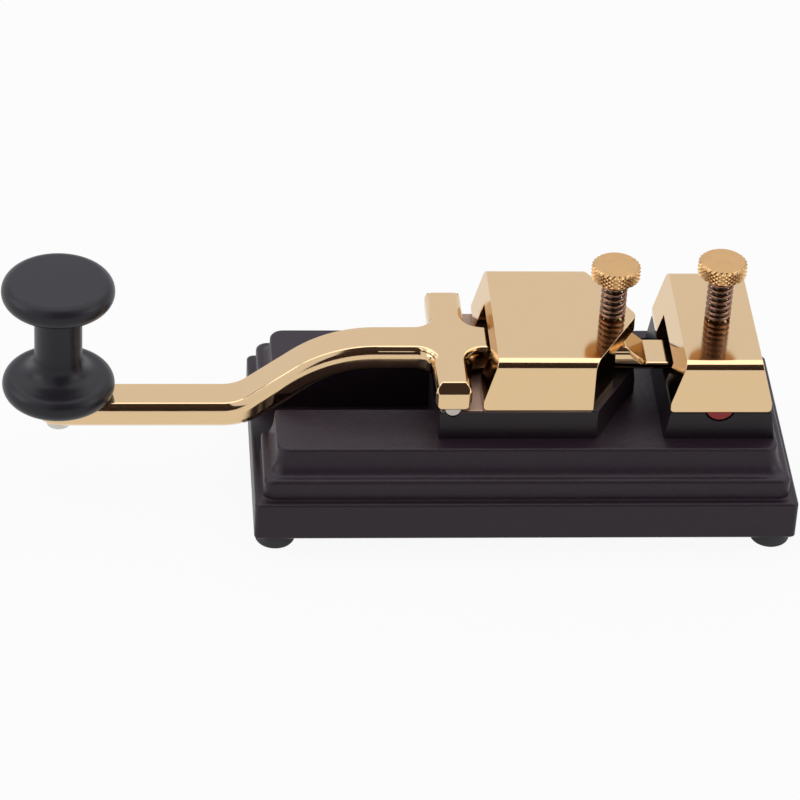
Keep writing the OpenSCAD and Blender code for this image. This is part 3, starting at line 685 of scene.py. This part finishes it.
UNDER, ABOVE = 3.5, 29.3  # heights just outside the casting, so that each cut goes clean through
CHANNEL_END, CHANNEL_HALF_W = 9.1, 9.5
POCKET_X, POCKET_Y, POCKET_TOP = (52.7, 65.7), (14.9, 29.4), 14.9
SEAT_R, SEAT_TOP, SCREW_Y = 4.5, 12.5, 16.2
PIVOT_SCREWS, PIVOT_HOLE_R = (27.2, 42.2), 2.1
CONTACT_SCREWS, CONTACT_HOLE_R = (74.5, 88.5), 3.1
FOOT_X, FOOT_Y, FOOT_HOLE_R = (-32.2, 96.6), 26.8, 1.5
SOCKET_PLACE = (59.2, 28.4, 10)

lever_channel = box_between((-40, -CHANNEL_HALF_W, PLINTH_TOP), (CHANNEL_END, CHANNEL_HALF_W, 30))
socket_pocket = box_between((POCKET_X[0], POCKET_Y[0], UNDER), (POCKET_X[1], POCKET_Y[1], POCKET_TOP))
cutters = [lever_channel, socket_pocket]
for xs, radius in ((PIVOT_SCREWS, PIVOT_HOLE_R), (CONTACT_SCREWS, CONTACT_HOLE_R)):
    seat = [(0, UNDER), (SEAT_R, UNDER), (SEAT_R, SEAT_TOP)]
    stepped = seat + [(radius, SEAT_TOP), (radius, ABOVE), (0, ABOVE)]
    cutters += [spun(stepped, (x, y), 32) for x in xs for y in (-SCREW_Y, SCREW_Y)]
foot_hole = [(0, UNDER), (FOOT_HOLE_R, UNDER), (FOOT_HOLE_R, SEAT_TOP), (0, SEAT_TOP)]
cutters += [spun(foot_hole, (x, y), 24) for x in FOOT_X for y in (-FOOT_Y, FOOT_Y)]

socket_hole = spun([(0, 0), (3.05, 0), (3.05, 3), (4.9, 3), (4.9, 6), (0, 6)], (0, 0), 32)
lying = Matrix.Rotation(math.radians(-90), 3, "X")
bmesh.ops.rotate(socket_hole, cent=(0, 0, 0), matrix=lying, verts=socket_hole.verts)
bmesh.ops.translate(socket_hole, vec=[c * MM for c in SOCKET_PLACE], verts=socket_hole.verts)
cutters.append(socket_hole)
print("hole makers:", len(cutters))

# %% [markdown]
# ## One Boolean
# A Boolean is a modifier, so the casting and the hole makers become objects for a moment. The result is
# read back into a bmesh, and the helper objects are deleted. The exact solver is slower than the fast one,
# but it copes with cuts that touch each other, and it leaves no open edges.

# %% Cutting the holes
hole_makers = bpy.data.collections.new("hole makers")
for number, bm in enumerate(cutters):
    mesh = bpy.data.meshes.new("hole maker")
    bm.to_mesh(mesh)
    bm.free()
    hole_makers.objects.link(bpy.data.objects.new("hole_maker_" + str(number), mesh))
casting = object_from(casting_bm, "casting", base_enamel)
holes = casting.modifiers.new("holes", "BOOLEAN")
holes.operand_type = "COLLECTION"
holes.collection = hole_makers
holes.solver = "EXACT"
base_bm = bmesh.new()
base_bm.from_object(casting, bpy.context.evaluated_depsgraph_get())
for maker in list(hole_makers.objects) + [casting]:
    bpy.data.objects.remove(maker)
bpy.data.collections.remove(hole_makers)
print("base faces:", len(base_bm.faces), "open edges:", sum(not e.is_manifold for e in base_bm.edges))

# %% [markdown]
# ## Shading the casting
# The Boolean leaves large flat faces beside narrow round ones. Smooth shading alone would bend the light
# on the flats, so the normals are weighted by face area, and the edges of the holes are kept sharp.

# %% Base
shade(base_bm, 35)
base = finished_piece(base_bm, "base_casting", base_enamel, "base")
weigh_normals(base)
print("base faces:", len(base.data.polygons))

# %% [markdown]
# ## The knob
# The knob is a spool: two thick rims with full rounds, joined by a neck that flares into them. The
# fingers hold the upper rim and the lower one keeps them off the lever. A cylinder with bevels could not
# make the hollow flares, so the whole profile is drawn as arcs and spun round the screw.

# %% Knob
knob_low, knob_high = [z / MM for z in (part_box("knob")[0][2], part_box("knob")[1][2])]
knob_r, neck_r, edge, rim = 14.5, 6.15, 3.35, 6.8
flare = knob_r - edge - neck_r
knob_outline = (
    [(0, knob_low)]
    + arc((knob_r - edge, knob_low + edge), edge, -90, 0, 12)
    + arc((knob_r - edge, knob_low + rim - edge), edge, 0, 90, 12)
    + arc((neck_r + flare, knob_low + rim + flare), flare, 270, 180, 14)
    + arc((neck_r + flare, knob_high - rim - flare), flare, 180, 90, 14)
    + arc((knob_r - edge, knob_high - rim + edge), edge, -90, 0, 12)
    + arc((knob_r - edge, knob_high - edge), edge, 0, 90, 12)
    + [(0, knob_high)]
)
knob_bm = spun(knob_outline, middle_of("knob"), 128)
shade(knob_bm, 60)
knob = finished_piece(knob_bm, "knob_turned", knob_acetal, "knob")
print("knob faces:", len(knob.data.polygons))

# %% [markdown]
# ## Knurled heads
# A knurling tool presses two sets of slanting grooves into the edge of each head, which leaves a pattern
# of small diamonds. The edge is spun with two points for each diamond. Every other point, like the dark
# squares of a chess board, is pushed in, and each face is split along its pushed-in points: those lines
# are the grooves, and the points between them are the tips.

# %% Knurling
TEETH = 28
HEAD_R, HEAD_H, KNURL_DEPTH = 6.4, 3.7, 0.36
KNURL_ROWS, KNURL_LOW, KNURL_HIGH = 5, 0.25, 3.05
UNDERCUT, TOP_BEVEL = 0.45, 0.85
row_h = (KNURL_HIGH - KNURL_LOW) / KNURL_ROWS


def knurled_head(bottom, centre):
    """A head with a diamond pattern round its edge and a bevel round its top."""
    band = [(HEAD_R, bottom + KNURL_LOW + i * row_h) for i in range(KNURL_ROWS + 1)]
    top = bottom + HEAD_H
    outline = [(0, bottom), (HEAD_R - UNDERCUT, bottom)] + band + [(HEAD_R - TOP_BEVEL, top), (0, top)]
    bm = spun(outline, centre, 2 * TEETH)
    axis = Vector((centre[0] * MM, centre[1] * MM, 0))
    pushed = set()
    for vert in bm.verts:
        out = Vector((vert.co.x, vert.co.y, 0)) - axis
        row = (vert.co.z / MM - bottom - KNURL_LOW) / row_h
        column = round(math.atan2(out.y, out.x) / math.pi * TEETH)
        if out.length > (HEAD_R - 0.2) * MM and (round(row) + column) % 2:
            vert.co -= out.normalized() * KNURL_DEPTH * MM
            pushed.add(vert)
    for face in list(bm.faces):
        low = [v for v in face.verts if v in pushed]
        if len(face.verts) == 4 and len(low) == 2:
            bmesh.utils.face_split(face, low[0], low[1])
    for face in bm.faces:
        face.smooth = False
    return bm


print("diamond width", round(2 * math.pi * HEAD_R / TEETH, 2), "mm, height", round(2 * row_h, 2), "mm")

# %% [markdown]
# ## Screw threads
# A thread is one small notch that is wound round the shank. Spin can do that: with a step upwards at each
# step round, the outline of a single notch climbs by one pitch for each turn, and its ends meet the next
# turn. The ends of the thread are then cut off flat and closed.


# %% Threads
THREAD_DEPTH = 0.61  # of the pitch


def threaded_rod(low, high, radius, pitch, centre, steps=24):
    """A threaded rod between two heights in millimetres."""
    root = radius - THREAD_DEPTH * pitch
    notch = [(root, 0.0), (radius, 0.38), (radius, 0.5), (root, 0.88), (root, 1.0)]
    turns = math.ceil((high - low) / pitch) + 1
    bm = bmesh.new()
    x, y = centre[0], centre[1]
    chain = [bm.verts.new(((x + r) * MM, y * MM, (low + (z - 0.5) * pitch) * MM)) for r, z in notch]
    edges = [bm.edges.new(pair) for pair in zip(chain, chain[1:])]
    bmesh.ops.spin(
        bm, geom=chain + edges, cent=(x * MM, y * MM, 0), axis=(0, 0, 1), angle=2 * math.pi * turns,
        steps=steps * turns, dvec=(0, 0, pitch / steps * MM), use_merge=False,
    )
    bmesh.ops.remove_doubles(bm, verts=bm.verts, dist=SAME_POINT)
    for height, side in ((low, -1), (high, 1)):
        everything = bm.verts[:] + bm.edges[:] + bm.faces[:]
        bmesh.ops.bisect_plane(
            bm, geom=everything, plane_co=(0, 0, height * MM), plane_no=(0, 0, side), clear_outer=True
        )
    open_edges = [e for e in bm.edges if e.is_boundary]
    bmesh.ops.holes_fill(bm, edges=open_edges, sides=0)
    bmesh.ops.recalc_face_normals(bm, faces=bm.faces)
    print("thread turns:", turns, "open edges left:", sum(e.is_boundary for e in bm.edges))
    return bm


# %% [markdown]
# ## The two thumb screws
# One screw sets how hard the spring lifts the knob, the other sets how far the lever may travel. Each is
# a gold-plated head on a dark brown M4 shank, whose colour is painted shade: the shade between the lock
# spring's turns. The shank reaches a little way up into the head, as the pressed-in shank of the real
# screw does, so no gap can open between the two meshes.

# %% Thumb screws
M4_PITCH, M4_R, INTO_HEAD = 0.7, 1.98, 0.3
for node in ("tension_screw", "gap_screw"):
    low, high = [corner[2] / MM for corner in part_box(node)]
    centre = middle_of(node)
    head_bottom = high - HEAD_H
    head = knurled_head(head_bottom, centre)
    finished_piece(head, node + "_knurled_head", cad_finish[node], node)
    shank = threaded_rod(low, head_bottom + INTO_HEAD, M4_R, M4_PITCH, centre)
    shade(shank, 60)
    # The shank's dark brown is painted shade, for the shade inside the spring round it.
    finished_piece(shank, node + "_threaded_shank", blackened_steel_and_shank_shade, node)

# %% [markdown]
# ## Wound springs
# A spring is wire wound round an arbor: its first and last turns lie close, and the turns between them
# stand open. A circle of wire is spun with a step upwards, slowly for the closed turns and faster for the
# open ones. A lock spring stands on its block and carries a washer that the screw moves. The return spring
# is pressed down by the tension screw onto the lever, whose tail rises 0.51 mm there when the knob goes
# down, so it starts a little above the tail, to leave it that room. Each spring is built where it stands
# and is not tied to a body.


# %% Springs
def wound_spring(node, outer, wire, open_turns, lift_mm=0.0, steps=28):
    """A coil spring in the place of a CAD node, closed at both ends, with lift_mm of room below it."""
    low, high = [Vector(corner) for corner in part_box(node)]
    low.z += lift_mm * MM
    x, y, _ = [c * MM for c in middle_of(node)]
    radius = (outer - wire) / 2 * MM
    closed_rise = 1.04 * wire * MM
    length = high.z - low.z
    open_rise = (length - wire * MM - 2 * closed_rise) / open_turns
    bm = bmesh.new()
    ring = bmesh.ops.create_circle(bm, segments=10, radius=wire / 2 * MM)["verts"]
    bmesh.ops.rotate(bm, verts=ring, cent=(0, 0, 0), matrix=Matrix.Rotation(math.pi / 2, 3, "X"))
    bmesh.ops.translate(bm, verts=ring, vec=(x + radius, y, low.z + wire / 2 * MM))
    last = bm.verts[:] + bm.edges[:]
    for turns, rise in ((1, closed_rise), (open_turns, open_rise), (1, closed_rise)):
        last = bmesh.ops.spin(
            bm, geom=last, cent=(x, y, 0), axis=(0, 0, 1), angle=2 * math.pi * turns,
            steps=round(steps * turns), dvec=(0, 0, rise / steps), use_merge=False,
        )["geom_last"]
    bmesh.ops.remove_doubles(bm, verts=bm.verts, dist=0.001 * MM)
    bmesh.ops.holes_fill(bm, edges=[e for e in bm.edges if e.is_boundary], sides=0)
    bmesh.ops.recalc_face_normals(bm, faces=bm.faces)
    shade(bm, 60)
    piece = object_from(bm, node + "_wound", spring_wire)
    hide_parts(node)
    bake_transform(piece)
    print(node, "coil rise", round(open_rise / MM, 2), "mm, turns", open_turns + 2)


LOCK_OUTER, LOCK_WIRE = 6.8, 0.9
RETURN_OUTER, RETURN_WIRE, TAIL_ROOM = 3.9, 0.55, 0.55
wound_spring("tension_lock_spring", LOCK_OUTER, LOCK_WIRE, 5)
wound_spring("gap_lock_spring", LOCK_OUTER, LOCK_WIRE, 6)
wound_spring("return_spring", RETURN_OUTER, RETURN_WIRE, 4, lift_mm=TAIL_ROOM)

# %% [markdown]
# ## The table
# The photograph is a plain studio shot on white. The table is a pale sheet. The camera and the mirrors
# see it almost white, because a share of plain white is mixed into it for those rays only. All other
# light meets a matt pale grey, so the key keeps its shadow and stays evenly lit from below.


# %% Table
def flat_sheet(name, size, place, material, turn=None):
    """A flat rectangular sheet for the studio."""
    bm = bmesh.new()
    bmesh.ops.create_grid(bm, x_segments=1, y_segments=1, size=0.5)
    bmesh.ops.scale(bm, vec=(size[0], size[1], 1.0), verts=bm.verts)
    if turn:
        bmesh.ops.rotate(bm, cent=(0, 0, 0), matrix=turn, verts=bm.verts)
    bmesh.ops.translate(bm, vec=place, verts=bm.verts)
    sheet = object_from(bm, name, material)
    return sheet


def seen_directly(tree):
    """1 for rays from the camera, from mirrors and through glass, and 0 for scattered light."""
    path = add(tree, "LightPath")
    mirror = add(tree, "Math", {0: path.outputs["Is Camera Ray"], 1: path.outputs["Is Glossy Ray"]},
                 operation="MAXIMUM")
    either = {0: mirror.outputs[0], 1: path.outputs["Is Transmission Ray"]}
    return add(tree, "Math", either, operation="MAXIMUM").outputs[0]


WHITE_SHARE = 0.93
table_white, table_tree, table_shader = new_finish("pale table", "#d4d4d4", 0.9)
white = add(table_tree, "Emission", {"Color": (1, 1, 1, 1), "Strength": 1.0})
share = add(table_tree, "Math", {0: seen_directly(table_tree), 1: WHITE_SHARE}, operation="MULTIPLY")
mixed = add(table_tree, "MixShader", {0: share.outputs[0], 1: table_shader.outputs[0], 2: white.outputs[0]})
table_tree.links.new(mixed.outputs[0], table_tree.nodes["Material Output"].inputs["Surface"])
table = flat_sheet("table", (6.0, 6.0), (0, 0, 0), table_white)
print("table", [round(side, 1) for side in table.dimensions[:2]], "m")

# %% [markdown]
# ## The room and the lamps
# Polished gold shows what stands round it, so the light is large and plain. The room is a pale even
# white. A wide soft lamp hangs overhead and a little behind the key, and makes the bright lines along
# the rounded edges. Two smaller soft lamps, on the left and on the right, light the ends of the blocks.

# %% World and lamps
ROOM_LIGHT = 0.42
world = bpy.data.worlds.new("pale room")
bpy.context.scene.world = world
world.use_nodes = True
world_tree = world.node_tree
room = world_tree.nodes["Background"]
seen = {"Value": seen_directly(world_tree), "To Min": ROOM_LIGHT, "To Max": 1.0}
glow = add(world_tree, "MapRange", seen)
world_tree.links.new(glow.outputs["Result"], room.inputs["Strength"])
room.inputs["Color"].default_value = linear("#f6f8ff")


def soft_lamp(name, place, aim, size, power):
    """A white rectangular soft lamp at a place, turned towards a point."""
    lamp_data = bpy.data.lights.new(name, "AREA")
    lamp_data.shape = "RECTANGLE"
    lamp_data.size, lamp_data.size_y = size
    lamp_data.energy = power
    lamp = bpy.data.objects.new(name, lamp_data)
    lamp.location = place
    lamp.rotation_euler = (Vector(aim) - Vector(place)).to_track_quat("-Z", "Y").to_euler()
    bpy.context.scene.collection.objects.link(lamp)
    print(name, power, "W")


KEY_MIDDLE = (0.03, 0, 0.03)
soft_lamp("overhead lamp", (0.03, 0.37, 1.0), (0.03, 0.37, 0.0), (2.2, 1.35), 9.3)
soft_lamp("left lamp", (-0.9, -0.05, 0.45), KEY_MIDDLE, (0.6, 0.5), 1.6)
soft_lamp("right lamp", (0.95, -0.35, 0.45), KEY_MIDDLE, (0.5, 0.5), 1.2)

# %% [markdown]
# ## A dark card for the mirrors
# In the photograph the slanting edges of the gold parts are dark, because they mirror the dark side of
# the studio, where the camera stood. A dark card in front of the key paints that dark reflection here:
# its brown colour is painted reflection, set for how dark the mirrored edges look. It is only as
# wide as the view from the front needs, so that the gold stays bright from other sides. It is hidden
# from the camera, from scattered light and from shadows, so only shiny surfaces see it.

# %% Dark card
# Painted reflection: the card's brown is what the gold mirrors on its dark edges.
painted_reflection_card = new_finish("painted dark reflection", "#33221d", 1.0)[0]
upright = Matrix.Rotation(math.radians(90), 3, "X")
card = flat_sheet("dark card", (0.56, 1.2), (0.04, -0.42, 0.71), painted_reflection_card, upright)
card.visible_camera = False
card.visible_diffuse = False
card.visible_shadow = False

# Standard shows each colour about as it is written above
bpy.context.scene.view_settings.view_transform = "Standard"
print("dark card", [round(side, 2) for side in card.dimensions], "m")
